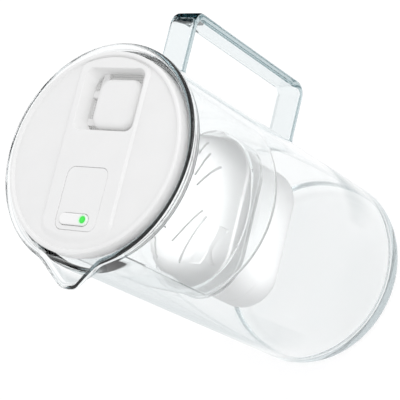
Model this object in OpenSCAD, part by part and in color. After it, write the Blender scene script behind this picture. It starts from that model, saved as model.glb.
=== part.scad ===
// Water filter jug: a straight clear glass jug with a strap handle and a
// pouring lip, a clear hopper that hangs in the mouth, a filter cartridge in
// the hopper's seat, and a white lid with a refill grille and a lit change
// indicator.  Millimetres.  Origin: centre of the base on the table,
// +Z up, handle towards +X, pouring lip towards -X.

/* [Glass jug] */
// Height of the glass from the table to the rim
jug_h = 245.5; // [240:0.5:255]
// Outer radius of the straight wall
jug_r = 64.2; // [64:0.1:64.8]
// Thickness of the wall
wall = 3; // [2.6:0.1:3.2]
// Thickness of the glass floor
base_t = 7; // [5:0.5:9]
// Rounding of the outer bottom edge
foot_round = 6.6; // [4:0.2:7]
// Outer radius of the thickened rim
rim_r = 66; // [65.6:0.1:66.6]
// Depth of the step inside the mouth that the hopper hangs on
rim_depth = 9.5; // [9:0.5:11]

/* [Pouring lip] */
// Distance from the jug's axis to the tip of the lip
lip_reach = 78; // [74:0.5:82]
// Half width of the lip at the tip
lip_tip = 6; // [5:0.2:7]
// Droop of the lip towards its tip, in degrees
lip_droop = 18; // [10:1:22]
// Thickness of the glass in the lip
lip_t = 2.2; // [1.8:0.1:2.6]

/* [Handle] */
// Width of the glass strap
handle_w = 18.4; // [15:0.2:22]
// Thickness of the two arms
arm_t = 5; // [4.5:0.1:8]
// Thickness of the upright grip
grip_t = 5; // [4.5:0.1:7]
// Distance from the jug's axis to the outside of the grip
handle_reach = 105.8; // [98:0.2:112]
// Top face of the upper arm
handle_top = 201; // [190:1:210]
// Bottom face of the lower arm
handle_low = 74; // [60:1:85]
// Radius of the outer corners
handle_round = 9; // [7:0.5:12]

/* [Hopper] */
// Height of the outer edge of the sloping floor
hopper_floor = 150; // [148:0.5:152]
// Radius of the hopper at that edge
hopper_r = 58.9; // [58.6:0.1:59.2]
// Thickness of the hopper's wall
hopper_t = 2; // [1.8:0.1:2.2]
// Distance from the axis to the flat beside the pour channel
channel_x = 53; // [52.6:0.1:54]

/* [Cartridge] */
// Length of the collar
cart_len = 98; // [97:0.2:98.4]
// Width of the collar
cart_w = 53.6; // [53:0.2:54]
// Lower edge of the collar
collar_z = 130; // [129.8:0.1:130.4]
// Height of the collar
collar_h = 10; // [9:0.5:11]
// Top of the dome
dome_top = 164.5; // [160:0.5:167]
// Underside of the cartridge
cart_low = 76; // [70:1:90]
// Width of the inlet slits
slit_w = 1.1; // [0.8:0.1:1.6]

/* [Lid] */
// Radius of the lid
lid_r = 59.6; // [59.2:0.1:60]
// How far the lid's top stands above the glass rim
lid_rise = 1.9; // [1.5:0.1:3]
// Thickness of the lid's top
lid_t = 2.5; // [2.2:0.1:2.8]
// Width of the raised band across the lid
band_w = 51; // [49:0.2:52]
// Height of the raised band and of the ring round the lid
band_rise = 1.6; // [1.4:0.1:2.4]
// How far the band sits to the side of the jug's middle plane
band_side = 1.3; // [0:0.1:1.6]
// Width of the bars in the refill grille
bar_w = 3.4; // [2.6:0.2:4.4]

/* [Indicator] */
// Length of the push button
pill_len = 20.3; // [18:0.1:22]
// Width of the push button
pill_w = 6.6; // [6:0.1:7.2]
// How far the push button stands above its panel
pill_rise = 1.2; // [0.9:0.1:1.6]
// Diameter of the round cell
cell_d = 20; // [16:1:20]

/* [Hidden] */
$fn = 96;

jug_in = jug_r - wall;                 // inner radius of the glass
mouth_r = 62.6;                        // radius above the step in the mouth
rim_c = (rim_r - mouth_r) / 2;         // rounding of the rim
z_ledge = jug_h - rim_depth;           // the step
z_fl = z_ledge + 1.3;                  // underside of the hopper's flange
z_ft = z_fl + 2;                       // top of the hopper's flange
z_skirt = z_ft + 1.1;                  // lower edge of the lid
z_lid = jug_h + lid_rise;              // top of the lid
z_under = z_lid - lid_t;               // underside of the lid's top
z_band = z_lid + band_rise;            // top of the raised band
z_ref = z_band - 7.2;                  // floor of the refill opening
flange_r = 62.2;                       // radius of the hopper's flange
hopper_top = 60.4;                     // radius of the hopper under the flange
floor_k = 0.62;                        // fall of the hopper's floor
floor_t = 2.4;                         // upright thickness of that floor
z_seat = collar_z - 1.6;               // ledge that carries the cartridge
hl = cart_len / 2;                     // half length of the collar
hw = cart_w / 2;                       // half width of the collar
neck = 3.4;                            // collar's overhang over the body
lip_k = 18 / 16;                       // spread of the lip from its tip

// indicator: the panel's outline and the button's centre
pan_x0 = -46; pan_x1 = -9.5; pan_hy = 14.7;
pill_x = -39.8; pill_y = 1.45;
lamp_y = pill_y - (pill_len - pill_w) / 2;
z_pan = z_band - 0.2;                  // top of the panel
z_pcb = z_under - 1.8;                 // top of the circuit board
z_tray = z_under - 8;                  // underside of the tray
screw_xy = [for (x = [-32, -12.3], y = [-12.3, 12.3]) [x, y]];
cell_x = -24;

// refill opening: plan at the top, and the plate in it
ref_x0 = 12.3; ref_x1 = 49.2; ref_y0 = -24.1; ref_y1 = 18.7;
plate_x0 = 14.2; plate_x1 = 44.2; plate_y0 = -20.6; plate_y1 = 9.4;

// ---------- shapes used again and again ----------
// outline with two straight sides and two half-round ends
module stadium(l, w) {
  square([2 * (l - w), 2 * w], center = true);
  for (s = [-1, 1]) translate([s * (l - w), 0]) circle(w);
}
// rectangle with round corners
module rrect(x0, x1, y0, y1, r) {
  translate([x0 + r, y0]) square([x1 - x0 - 2 * r, y1 - y0]);
  translate([x0, y0 + r]) square([x1 - x0, y1 - y0 - 2 * r]);
  for (x = [x0 + r, x1 - r], y = [y0 + r, y1 - r]) translate([x, y]) circle(r);
}
// raise an outline from z0 to z1
module slab(z0, z1) translate([0, 0, z0]) linear_extrude(z1 - z0) children();
// short upright rod
module rod(x, y, z0, z1, r) translate([x, y, z0]) cylinder(h = z1 - z0, r = r);

// ---------- glass ----------
module jug_outline() {
  difference() {
    square([jug_r, jug_h - rim_c]);
    translate([jug_r - foot_round, 0]) difference() {
      translate([0, -1]) square([foot_round + 1, foot_round + 1]);
      translate([0, foot_round]) circle(foot_round);
    }
  }
  polygon([[jug_r - 2, jug_h - 5.4], [jug_r, jug_h - 5.4], [rim_r, jug_h - 3.6],
           [rim_r, jug_h - rim_c], [jug_r - 2, jug_h - rim_c]]);
  translate([rim_r - rim_c, jug_h - rim_c]) circle(rim_c);
}
module jug_hollow() {
  difference() {
    translate([0, base_t]) square([jug_in, z_ledge - base_t + 1]);
    translate([jug_in - 5, base_t]) difference() {
      translate([0, -1]) square([6, 6]);
      translate([0, 5]) circle(5);
    }
  }
  translate([0, z_ledge]) square([mouth_r, jug_h - z_ledge + 5]);
}
// half cone of the pouring lip, open above, drooping towards its tip
module lip_cone(tip, reach, lift) translate([-62, 0, jug_h]) rotate([0, -lip_droop, 0])
  intersection() {
    translate([5, 0, 0]) rotate([0, -90, 0])
      cylinder(h = reach - 57, r1 = tip + lip_k * (reach - 57), r2 = tip);
    translate([-40, -50, -60]) cube([60, 100, 60 + lift]);
  }
module glass_body() color([0.86, 0.93, 0.94, 0.35]) difference() {
  union() {
    rotate_extrude() jug_outline();
    intersection() {
      lip_cone(lip_tip, lip_reach, 0);
      translate([-150, -60, 0]) cube([150, 120, jug_h - 0.6]);
    }
  }
  rotate_extrude() jug_hollow();
  lip_cone(lip_tip - 1.5 * lip_t - lip_k * 2, lip_reach + 2, 40);
}
module glass_handle() color([0.86, 0.93, 0.94, 0.35]) difference() {
  translate([0, handle_w / 2, 0]) rotate([90, 0, 0]) linear_extrude(handle_w)
    difference() {
      rrect(40, handle_reach, handle_low, handle_top, handle_round);
      rrect(30, handle_reach - grip_t, handle_low + arm_t, handle_top - arm_t,
            handle_round - 5);
    }
  cylinder(h = jug_h, r = jug_r);
}

// ---------- hopper ----------
module cup(r_low, z_low, r_top, z_top, z_mid) rotate_extrude()
  polygon([[0, z_low - floor_k * r_low], [r_low, z_low], [r_top, z_mid],
           [r_top, z_top], [0, z_top]]);
module funnel() color([0.9, 0.94, 0.95, 0.35]) difference() {
  union() {
    difference() {
      cup(hopper_r, hopper_floor, hopper_top, z_fl + 1, z_fl);
      cup(hopper_r - hopper_t, hopper_floor - floor_k * hopper_t + floor_t,
          hopper_top - hopper_t, z_ft + 20, z_fl);
    }
    rotate_extrude() {
      translate([hopper_top - hopper_t, z_fl])
        square([flange_r - hopper_top + hopper_t, z_ft - z_fl]);
      translate([flange_r - 1.8, z_fl]) square([1.8, z_ft + 2.9 - z_fl]);
    }
    // flat wall beside the pour channel
    intersection() {
      cup(hopper_r, hopper_floor, hopper_top, z_ft, z_fl);
      translate([-channel_x, -50, 100]) cube([1.8, 100, z_ft - 100]);
    }
    // well around the cartridge's collar, with the ledge at its foot
    slab(z_seat - 2, hopper_floor - floor_k * (hopper_r - hw) + 1) difference() {
      stadium(hl + 2.4, hw + 2.4);
      stadium(hl + 0.4, hw + 0.4);
    }
    intersection() {
      slab(z_seat - 2, hopper_floor) difference() {
        stadium(hl + 2.4, hw + 2.4);
        stadium(hl + 0.4, hw + 0.4);
      }
      rotate_extrude() polygon([[0, 100], [hopper_r, 100],
        [hopper_r, hopper_floor + 1], [0, hopper_floor + 1 - floor_k * hopper_r]]);
    }
    slab(z_seat - 2, z_seat) difference() {
      stadium(hl + 2.4, hw + 2.4);
      stadium(hl - neck + 0.6, hw - neck + 0.6);
    }
  }
  slab(z_seat, hopper_floor + 40) stadium(hl + 0.4, hw + 0.4);
  slab(80, z_seat + 1) stadium(hl - neck + 0.6, hw - neck + 0.6);
  translate([-200, -100, 80]) cube([200 - channel_x, 200, 200]);
}
module funnel_seal() color("gainsboro") difference() {
  rotate_extrude() translate([hopper_top + 0.3, z_ledge + 0.15])
    square([flange_r - hopper_top - 0.3, z_fl - z_ledge - 0.15]);
  translate([-200, -100, 200]) cube([200 - channel_x, 200, 60]);
}

// ---------- cartridge ----------
// dome as a smooth skin over three outlines, drawn in by d
module dome(d) hull() {
  slab(collar_z + collar_h - 1, collar_z + collar_h) stadium(hl - 2 - d, hw - 2 - d, $fn = 48);
  slab(dome_top - 8 - d, dome_top - 7 - d) stadium(hl - 5.6 - d, hw - 5.6 - d, $fn = 48);
  slab(dome_top - 3 - d, dome_top - 2 - d) stadium(hl - 9 - d, hw - 9 - d, $fn = 48);
  slab(dome_top - 1 - d, dome_top - d) stadium(hl - 14 - d, hw - 14 - d, $fn = 48);
}
module cartridge_cap() color("white") difference() {
  union() {
    slab(collar_z, collar_z + collar_h) stadium(hl, hw);
    dome(0);
  }
  dome(1.8);
  slab(collar_z - 1, collar_z + collar_h - 0.5) stadium(hl - neck, hw - neck);
  // fans of inlet slits at both ends
  for (s = [-1, 1], a = [-54, -36, -18, 0, 18, 36, 54])
    translate([s * (hl - hw) * 0.72, 0, 0]) rotate([0, 0, a + (s < 0 ? 180 : 0)])
      translate([9, -slit_w / 2, collar_z + collar_h + 4]) cube([40, slit_w, 40]);
}
module cartridge_body() color("white") difference() {
  slab(cart_low, collar_z + collar_h - 1) stadium(hl - neck - 0.05, hw - neck - 0.05);
  slab(cart_low + 1.6, collar_z + collar_h) stadium(hl - neck - 1.65, hw - neck - 1.65);
  // outlet slots in the floor
  for (x = [-30 : 7.5 : 30]) slab(cart_low - 1, cart_low + 3)
    translate([x - 1.5, -11]) square([3, 22]);
}
module cartridge_seal() color("gainsboro") slab(z_seat + 0.15, collar_z) difference() {
  stadium(hl - 0.2, hw - 0.2);
  stadium(hl - neck + 0.7, hw - neck + 0.7);
}
module inlet_mesh() color("whitesmoke") slab(collar_z + collar_h - 1, collar_z + collar_h - 0.5)
  stadium(hl - neck - 0.2, hw - neck - 0.2);
module filter_media() color("dimgray") slab(cart_low + 2.4, collar_z + collar_h - 4)
  stadium(hl - neck - 1.8, hw - neck - 1.8);
module outlet_mesh() color("whitesmoke") slab(cart_low + 1.6, cart_low + 2.2)
  stadium(hl - neck - 1.8, hw - neck - 1.8);

// ---------- lid ----------
module band_outline() intersection() {
  translate([-60, -band_w / 2 - band_side]) square([120, band_w]);
  union() {
    intersection() { circle(57); translate([-5, -60]) square([80, 120]); }
    intersection() { circle(51.5); translate([-80, -60]) square([80, 120]); }
  }
}
// tapering well of the refill opening
module refill_well() hull() {
  slab(z_band, z_band + 1) rrect(ref_x0, ref_x1, ref_y0, ref_y1, 5, $fn = 32);
  slab(z_ref - 1, z_ref) rrect(ref_x0 + 0.5, ref_x1 + 0.3, ref_y0 + 1.3, ref_y1 - 1.3, 5, $fn = 32);
}
module lid_shell() color("white") difference() {
  union() {
    rotate_extrude() {
      translate([0, z_under]) square([lid_r, lid_t]);
      translate([lid_r - 2.5, z_skirt]) square([2.5, z_under - z_skirt + 1]);
      translate([lid_r - 3.2, z_under]) square([2.6, z_band - z_under]);
    }
    slab(z_under, z_band) band_outline();
    slab(z_ref, z_under + 1) rrect(ref_x0 - 2, ref_x1 + 2.3, ref_y0 - 2, ref_y1 + 2, 6);
  }
  refill_well();
  // place of the indicator's panel, and the window under it
  translate([0, -band_side, 0]) {
    slab(z_pan - 1.7, z_band + 1) rrect(pan_x0 - 0.15, pan_x1 + 0.15, -pan_hy - 0.15, pan_hy + 0.15, 5.15);
    slab(z_skirt - 1, z_band) difference() {
      rrect(pan_x0 + 1.7, pan_x1 - 1.7, -pan_hy + 1.7, pan_hy - 1.7, 3.3);
      for (p = screw_xy) translate(p) circle(2.6);
    }
    // pilot holes of the case's screws
    for (p = screw_xy) rod(p[0], p[1], z_skirt - 1, z_under + 2.2, 0.9);
  }
}
module refill_grille() color("white") difference() {
  union() {
    slab(z_ref - 2, z_ref) difference() {
      rrect(ref_x0 - 1.4, ref_x1 + 1.8, ref_y0 - 1.3, ref_y1 + 1.3, 6);
      rrect(ref_x0 + 0.7, ref_x1 + 0.1, ref_y0 + 1.5, ref_y1 - 1.5, 5);
    }
    // bars half way along the sides and near the corners
    slab(z_ref - 2, z_ref - 0.2) {
      for (x = [19.2, 35.7], y = [[plate_y1 - 1, ref_y1 - 0.5], [ref_y0 + 0.5, plate_y0 + 1]])
        translate([x - bar_w / 2, y[0]]) square([bar_w, y[1] - y[0]]);
      for (y = [9 - bar_w / 2, -18.6])
        translate([plate_x1 - 7, y - bar_w / 2]) square([ref_x1 - plate_x1 + 7.5, bar_w]);
    }
    slab(z_ref - 2, z_band - 3.7) rrect(plate_x0, plate_x1, plate_y0, plate_y1, 8);
    slab(z_band - 3.8, z_band - 2.5) rrect(plate_x0 + 1.2, plate_x1 - 1.2, plate_y0 + 1.2, plate_y1 - 1.2, 6.8);
  }
  slab(z_ref - 3, z_band - 4.3) rrect(plate_x0 + 1.8, plate_x1 - 1.8, plate_y0 + 1.8, plate_y1 - 1.8, 6.2);
}
// fine screen under the bars of the refill opening
module refill_strainer() color("darkgray") slab(z_ref - 2.4, z_ref - 2)
  rrect(ref_x0 - 0.6, ref_x1 + 1, ref_y0 - 0.5, ref_y1 + 0.5, 5.5);
module lid_seal() color("gainsboro") rotate_extrude()
  translate([lid_r - 2.2, z_ft + 0.15]) square([2.3, z_skirt - z_ft - 0.15]);

// ---------- indicator ----------
module pill(d) translate([pill_x, pill_y]) rotate(90) stadium(pill_len / 2 + d, pill_w / 2 + d);
module indicator_cover() translate([0, -band_side, 0]) color("white") difference() {
  slab(z_pan - 1.6, z_pan) rrect(pan_x0, pan_x1, -pan_hy, pan_hy, 5);
  slab(z_pan - 3, z_pan + 1) pill(0.3);
}
module reset_button() translate([0, -band_side, 0]) color("white") difference() {
  union() {
    slab(z_pan - 3, z_pan + pill_rise) pill(0);
    slab(z_pan - 3, z_pan - 1.65) pill(0.9);
  }
  rod(pill_x, lamp_y, z_pan - 4, z_pan + 3, 1.75);
}
module light_lens() translate([0, -band_side, 0]) color([0.2, 0.9, 0.3])
  rod(pill_x, lamp_y, z_pan - 3, z_pan + pill_rise, 1.75);
module indicator_base() translate([0, -band_side, 0]) color("whitesmoke") difference() {
  union() {
    difference() {
      slab(z_tray, z_under - 0.8) rrect(pan_x0, pan_x1, -pan_hy, pan_hy, 5);
      slab(z_tray + 1.2, z_under) rrect(pan_x0 + 1.4, pan_x1 - 1.4, -pan_hy + 1.4, pan_hy - 1.4, 3.6);
    }
    for (p = screw_xy) rod(p[0], p[1], z_tray + 1, z_under - 0.8, 2.2);
    for (x = [-38, -12.4], y = [-7.6, 7.6]) rod(x, y, z_tray + 1, z_pcb - 1, 1);
  }
  for (p = screw_xy) {
    rod(p[0], p[1], z_tray - 1, z_under, 1);
    rod(p[0], p[1], z_tray - 1, z_tray + 1, 1.8);
  }
}
module case_gasket() translate([0, -band_side, 0]) color("dimgray") slab(z_under - 0.8, z_under) difference() {
  rrect(pan_x0 + 0.2, pan_x1 - 0.2, -pan_hy + 0.2, pan_hy - 0.2, 4.8);
  difference() {
    rrect(pan_x0 + 1.4, pan_x1 - 1.4, -pan_hy + 1.4, pan_hy - 1.4, 3.6);
    for (p = screw_xy) translate(p) circle(2.2);
  }
  for (p = screw_xy) translate(p) circle(1);
}
module case_screws() translate([0, -band_side, 0]) color("silver") for (p = screw_xy) {
  rod(p[0], p[1], z_tray + 0.1, z_under + 2, 0.9);
  difference() {
    rod(p[0], p[1], z_tray + 0.1, z_tray + 1, 1.7);
    translate([p[0] - 1.2, p[1] - 0.2, z_tray - 0.5]) cube([2.4, 0.4, 1]);
    translate([p[0] - 0.2, p[1] - 1.2, z_tray - 0.5]) cube([0.4, 2.4, 1]);
  }
}
module circuit_board() translate([0, -band_side, 0]) color("darkgreen") slab(z_pcb - 1, z_pcb) union() {
  translate([pan_x0 + 1.7, -9.3]) square([pan_x1 - pan_x0 - 3.4, 18.6]);
  translate([-28.8, -12.9]) square([13.2, 25.8]);
}
module coin_cell() translate([0, -band_side, 0]) color("silver") union() {
  rod(cell_x, 0, z_pcb - 5, z_pcb - 2.2, cell_d / 2);
  rod(cell_x, 0, z_pcb - 2.2, z_pcb - 1.8, cell_d / 2 - 1.4);
}
module cell_contacts() translate([0, -band_side, 0]) color("goldenrod") {
  translate([cell_x - 6, -2, z_pcb - 1.3]) cube([12, 4, 0.3]);
  rod(cell_x, 0, z_pcb - 1.8, z_pcb - 1.2, 1.4);
  translate([cell_x + cell_d / 2 + 0.05, -3, z_pcb - 4.8]) cube([0.4, 6, 3.8]);
}
module tact_switch() translate([0, -band_side, 0]) color("dimgray") union() {
  translate([pill_x - 2.4, 2.6, z_pcb]) cube([4.8, 4.8, 1.9]);
  rod(pill_x, 5, z_pcb + 1.8, z_pan - 3.9, 1.2);
}
module status_led() translate([0, -band_side, 0]) color([0.8, 1, 0.8]) union() {
  translate([pill_x - 1.6, lamp_y - 0.9, z_pcb]) cube([3.2, 1.8, 0.6]);
  translate([pill_x - 1, lamp_y - 0.7, z_pcb + 0.5]) cube([2, 1.4, 0.6]);
}

glass_body();
glass_handle();
funnel();
funnel_seal();
cartridge_body();
cartridge_cap();
cartridge_seal();
inlet_mesh();
filter_media();
outlet_mesh();
lid_shell();
refill_grille();
refill_strainer();
lid_seal();
indicator_cover();
indicator_base();
case_gasket();
case_screws();
circuit_board();
coin_cell();
cell_contacts();
tact_switch();
status_led();
reset_button();
light_lens();
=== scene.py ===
import math

import bmesh
import bpy
from mathutils import Matrix, Vector
from mathutils.geometry import delaunay_2d_cdt


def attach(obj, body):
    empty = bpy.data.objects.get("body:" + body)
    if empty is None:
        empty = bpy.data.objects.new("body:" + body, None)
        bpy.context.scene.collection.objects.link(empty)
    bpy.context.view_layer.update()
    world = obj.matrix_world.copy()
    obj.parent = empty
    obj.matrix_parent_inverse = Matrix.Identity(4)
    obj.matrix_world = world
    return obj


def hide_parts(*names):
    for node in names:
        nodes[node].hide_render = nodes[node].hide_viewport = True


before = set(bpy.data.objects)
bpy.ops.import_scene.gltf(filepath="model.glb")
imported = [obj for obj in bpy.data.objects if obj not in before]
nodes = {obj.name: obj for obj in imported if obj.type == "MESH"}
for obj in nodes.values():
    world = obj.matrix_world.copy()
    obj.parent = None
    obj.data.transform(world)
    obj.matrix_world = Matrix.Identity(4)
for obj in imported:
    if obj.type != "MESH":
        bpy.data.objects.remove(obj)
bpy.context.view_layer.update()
scene = bpy.context.scene
MM = 0.001

# ---------------------------------------------------------------- main sizes, in mm
JUG_H, JUG_R, JUG_IN, BASE_T = 245.5, 64.2, 61.2, 7.0
RIM_R, MOUTH_R, Z_LEDGE = 66.0, 62.6, 236.0
Z_FL, Z_FT, Z_SKIRT = 237.3, 239.3, 240.4
Z_UNDER, Z_LID, Z_BAND, Z_REF, Z_PAN = 244.9, 247.4, 249.0, 241.8, 248.8
LID_R = 59.6
SIDE = -1.3


# ---------------------------------------------------------------- mesh helpers
def smoothstep(a, b, x):
    t = min(1.0, max(0.0, (x - a) / (b - a)))
    return t * t * (3 - 2 * t)


def lerp(a, b, t):
    return a + (b - a) * t


def interp(table, x):
    """Smooth value at x from a short table of (x, value), by a monotone cubic."""
    if x <= table[0][0]:
        return table[0][1]
    if x >= table[-1][0]:
        return table[-1][1]
    n = len(table)
    for i in range(n - 1):
        x0, y0 = table[i]
        x1, y1 = table[i + 1]
        if x0 <= x <= x1:
            h = x1 - x0
            s = (y1 - y0) / h
            s0 = (y0 - table[i - 1][1]) / (x0 - table[i - 1][0]) if i > 0 else s
            s2 = (table[i + 2][1] - y1) / (table[i + 2][0] - x1) if i + 2 < n else s
            m0 = 0.0 if s0 * s <= 0 else 2 * s0 * s / (s0 + s)
            m1 = 0.0 if s2 * s <= 0 else 2 * s2 * s / (s2 + s)
            t = (x - x0) / h
            return ((2 * t**3 - 3 * t**2 + 1) * y0 + (t**3 - 2 * t**2 + t) * h * m0
                    + (-2 * t**3 + 3 * t**2) * y1 + (t**3 - t**2) * h * m1)
    return table[-1][1]


def arc(cx, cy, r, a0, a1, n):
    """Points on an arc, both ends included; angles in degrees."""
    return [(cx + r * math.cos(math.radians(lerp(a0, a1, i / n))),
             cy + r * math.sin(math.radians(lerp(a0, a1, i / n)))) for i in range(n + 1)]


def new_object(name, verts, faces, merge=True):
    me = bpy.data.meshes.new(name)
    me.from_pydata([(v[0] * MM, v[1] * MM, v[2] * MM) for v in verts], [], faces)
    bm = bmesh.new()
    bm.from_mesh(me)
    if merge:
        bmesh.ops.remove_doubles(bm, verts=bm.verts, dist=2e-6)
    bmesh.ops.dissolve_degenerate(bm, edges=bm.edges, dist=1e-7)
    bmesh.ops.recalc_face_normals(bm, faces=bm.faces)
    bm.to_mesh(me)
    bm.free()
    ob = bpy.data.objects.new(name, me)
    scene.collection.objects.link(ob)
    return ob


def boolean(a, b, op):
    """a changed by b with an exact boolean; b goes away."""
    m = a.modifiers.new("cut", "BOOLEAN")
    m.operation, m.solver, m.object = op, "EXACT", b
    dg = bpy.context.evaluated_depsgraph_get()
    dg.update()
    made = bpy.data.meshes.new_from_object(a.evaluated_get(dg))
    a.modifiers.clear()
    old = a.data
    a.data = made
    bpy.data.meshes.remove(old)
    bpy.data.objects.remove(b)
    return a


def soften(ob, deg=35.0, weighted=True):
    """Smooth shading with sharp edges kept where the faces turn by more than deg."""
    bm = bmesh.new()
    bm.from_mesh(ob.data)
    bmesh.ops.remove_doubles(bm, verts=bm.verts, dist=1e-6)
    bmesh.ops.dissolve_degenerate(bm, edges=bm.edges, dist=1e-7)
    limit = math.radians(deg)
    for f in bm.faces:
        f.smooth = True
    for e in bm.edges:
        e.smooth = len(e.link_faces) == 2 and e.calc_face_angle(0.0) <= limit
    bm.to_mesh(ob.data)
    bm.free()
    if weighted:
        w = ob.modifiers.new("normals", "WEIGHTED_NORMAL")
        w.mode, w.weight, w.keep_sharp = "FACE_AREA", 50, True
    return ob


def dress(ob, mat, body, slot, *replaced):
    ob.data.materials.clear()
    ob.data.materials.append(mat)
    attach(ob, body)
    if replaced:
        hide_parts(*replaced)
    return ob


def strips(loops, close_first=False, close_last=False):
    """Verts and faces of a skin through loops of equal length."""
    n = len(loops[0])
    verts = [p for lp in loops for p in lp]
    faces = []
    for j in range(len(loops) - 1):
        for i in range(n):
            k = (i + 1) % n
            faces.append((j * n + i, j * n + k, (j + 1) * n + k, (j + 1) * n + i))
    if close_first:
        faces.append(tuple(range(n - 1, -1, -1)))
    if close_last:
        b = (len(loops) - 1) * n
        faces.append(tuple(range(b, b + n)))
    return verts, faces


def lift(loop, z):
    return [(p[0], p[1], z) for p in loop]


def circle(r, n=224):
    return [(r * math.cos(2 * math.pi * i / n), r * math.sin(2 * math.pi * i / n)) for i in range(n)]


def rrect(x0, x1, y0, y1, r, k=10, side=4):
    """Rectangle with round corners, from the lower right corner on, with points along the sides."""
    r = max(r, 0.05)
    corners = [(x1 - r, y0 + r, -90), (x1 - r, y1 - r, 0), (x0 + r, y1 - r, 90), (x0 + r, y0 + r, 180)]
    pts = []
    for c, (cx, cy, a) in enumerate(corners):
        pts += arc(cx, cy, r, a, a + 90, k)
        nx, ny, na = corners[(c + 1) % 4]
        p = pts[-1]
        q = arc(nx, ny, r, na, na + 90, 1)[0]
        for s in range(1, side + 1):
            t = s / (side + 1)
            pts.append((lerp(p[0], q[0], t), lerp(p[1], q[1], t)))
    return pts


def stadium(l, w, k=16, side=10):
    """Two straight sides along X and two half round ends."""
    pts = arc(l - w, 0, w, -90, 90, 2 * k)
    for s in range(1, side + 1):
        pts.append((lerp(l - w, w - l, s / (side + 1)), w))
    pts += arc(w - l, 0, w, 90, 270, 2 * k)
    for s in range(1, side + 1):
        pts.append((lerp(w - l, l - w, s / (side + 1)), -w))
    return pts


def band_outline(r1, r2, yl, yr, c1, cl, cr, k=12):
    """Outline of the raised band: sides at yl and -yr, an arc of radius r1 at the handle end and r2 at the lip end."""
    def end(r, y, c):
        x = math.sqrt((r - c) ** 2 - (y - c) ** 2)
        return x, math.degrees(math.atan2(y - c, x))

    xa, a = end(r1, yr, c1)
    xb, b = end(r1, yl, c1)
    xc, c = end(r2, yl, cl)
    xd, d = end(r2, yr, cr)
    pts = arc(xa, -(yr - c1), c1, -90, -a, k)
    pts += arc(0, 0, r1, -a, b, 36)[1:-1]
    pts += arc(xb, yl - c1, c1, b, 90, k)
    pts += [(lerp(xb, -xc, s / 14), yl) for s in range(1, 14)]
    pts += arc(-xc, yl - cl, cl, 90, 180 - c, k)
    pts += arc(0, 0, r2, 180 - c, 180 + d, 36)[1:-1]
    pts += arc(-xd, -(yr - cr), cr, 180 + d, 270, k)
    pts += [(lerp(-xd, xa, s / 14), -yr) for s in range(1, 14)]
    return pts


def inside(poly, x, y):
    hit = False
    n = len(poly)
    for i in range(n):
        x0, y0 = poly[i]
        x1, y1 = poly[(i + 1) % n]
        if (y0 > y) != (y1 > y) and x < (x1 - x0) * (y - y0) / (y1 - y0) + x0:
            hit = not hit
    return hit


def sheet_of(loops, outer, holes):
    """Triangulated surface through nested outlines, each (points, z), inside outer and outside holes."""
    pts, zs, edges = [], [], []
    for loop, z in loops:
        b = len(pts)
        for i, p in enumerate(loop):
            pts.append(Vector((p[0], p[1])))
            zs.append(z)
            edges.append((b + i, b + (i + 1) % len(loop)))
    out, _, tris, orig, _, _ = delaunay_2d_cdt(pts, edges, [], 0, 1e-6, True)
    verts = [(v.x, v.y, zs[orig[i][0]] if orig[i] else 0.0) for i, v in enumerate(out)]
    faces = []
    for t in tris:
        cx = sum(out[i].x for i in t) / 3
        cy = sum(out[i].y for i in t) / 3
        if inside(outer, cx, cy) and not any(inside(h, cx, cy) for h in holes):
            faces.append(tuple(t))
    return verts, faces


def joined(*parts):
    verts, faces = [], []
    for v, f in parts:
        b = len(verts)
        verts += v
        faces += [tuple(b + i for i in t) for t in f]
    return verts, faces


def prism(name, loop, z0, z1):
    return new_object(name, *strips([lift(loop, z0), lift(loop, z1)], True, True))


def block(name, x0, x1, y0, y1, z0, z1):
    return prism(name, [(x0, y0), (x1, y0), (x1, y1), (x0, y1)], z0, z1)


def revolve(name, profile, n=160):
    """Closed solid from a profile (r, z) that starts and ends on the axis."""
    verts, faces = [(0, 0, profile[0][1]), (0, 0, profile[-1][1])], []
    ring = profile[1:-1]
    for r, z in ring:
        for i in range(n):
            a = 2 * math.pi * i / n
            verts.append((r * math.cos(a), r * math.sin(a), z))
    m = len(ring)
    for j in range(m - 1):
        for i in range(n):
            k = (i + 1) % n
            faces.append((2 + j * n + i, 2 + j * n + k, 2 + (j + 1) * n + k, 2 + (j + 1) * n + i))
    for i in range(n):
        k = (i + 1) % n
        faces.append((0, 2 + k, 2 + i))
        faces.append((1, 2 + (m - 1) * n + i, 2 + (m - 1) * n + k))
    return new_object(name, verts, faces)


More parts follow.
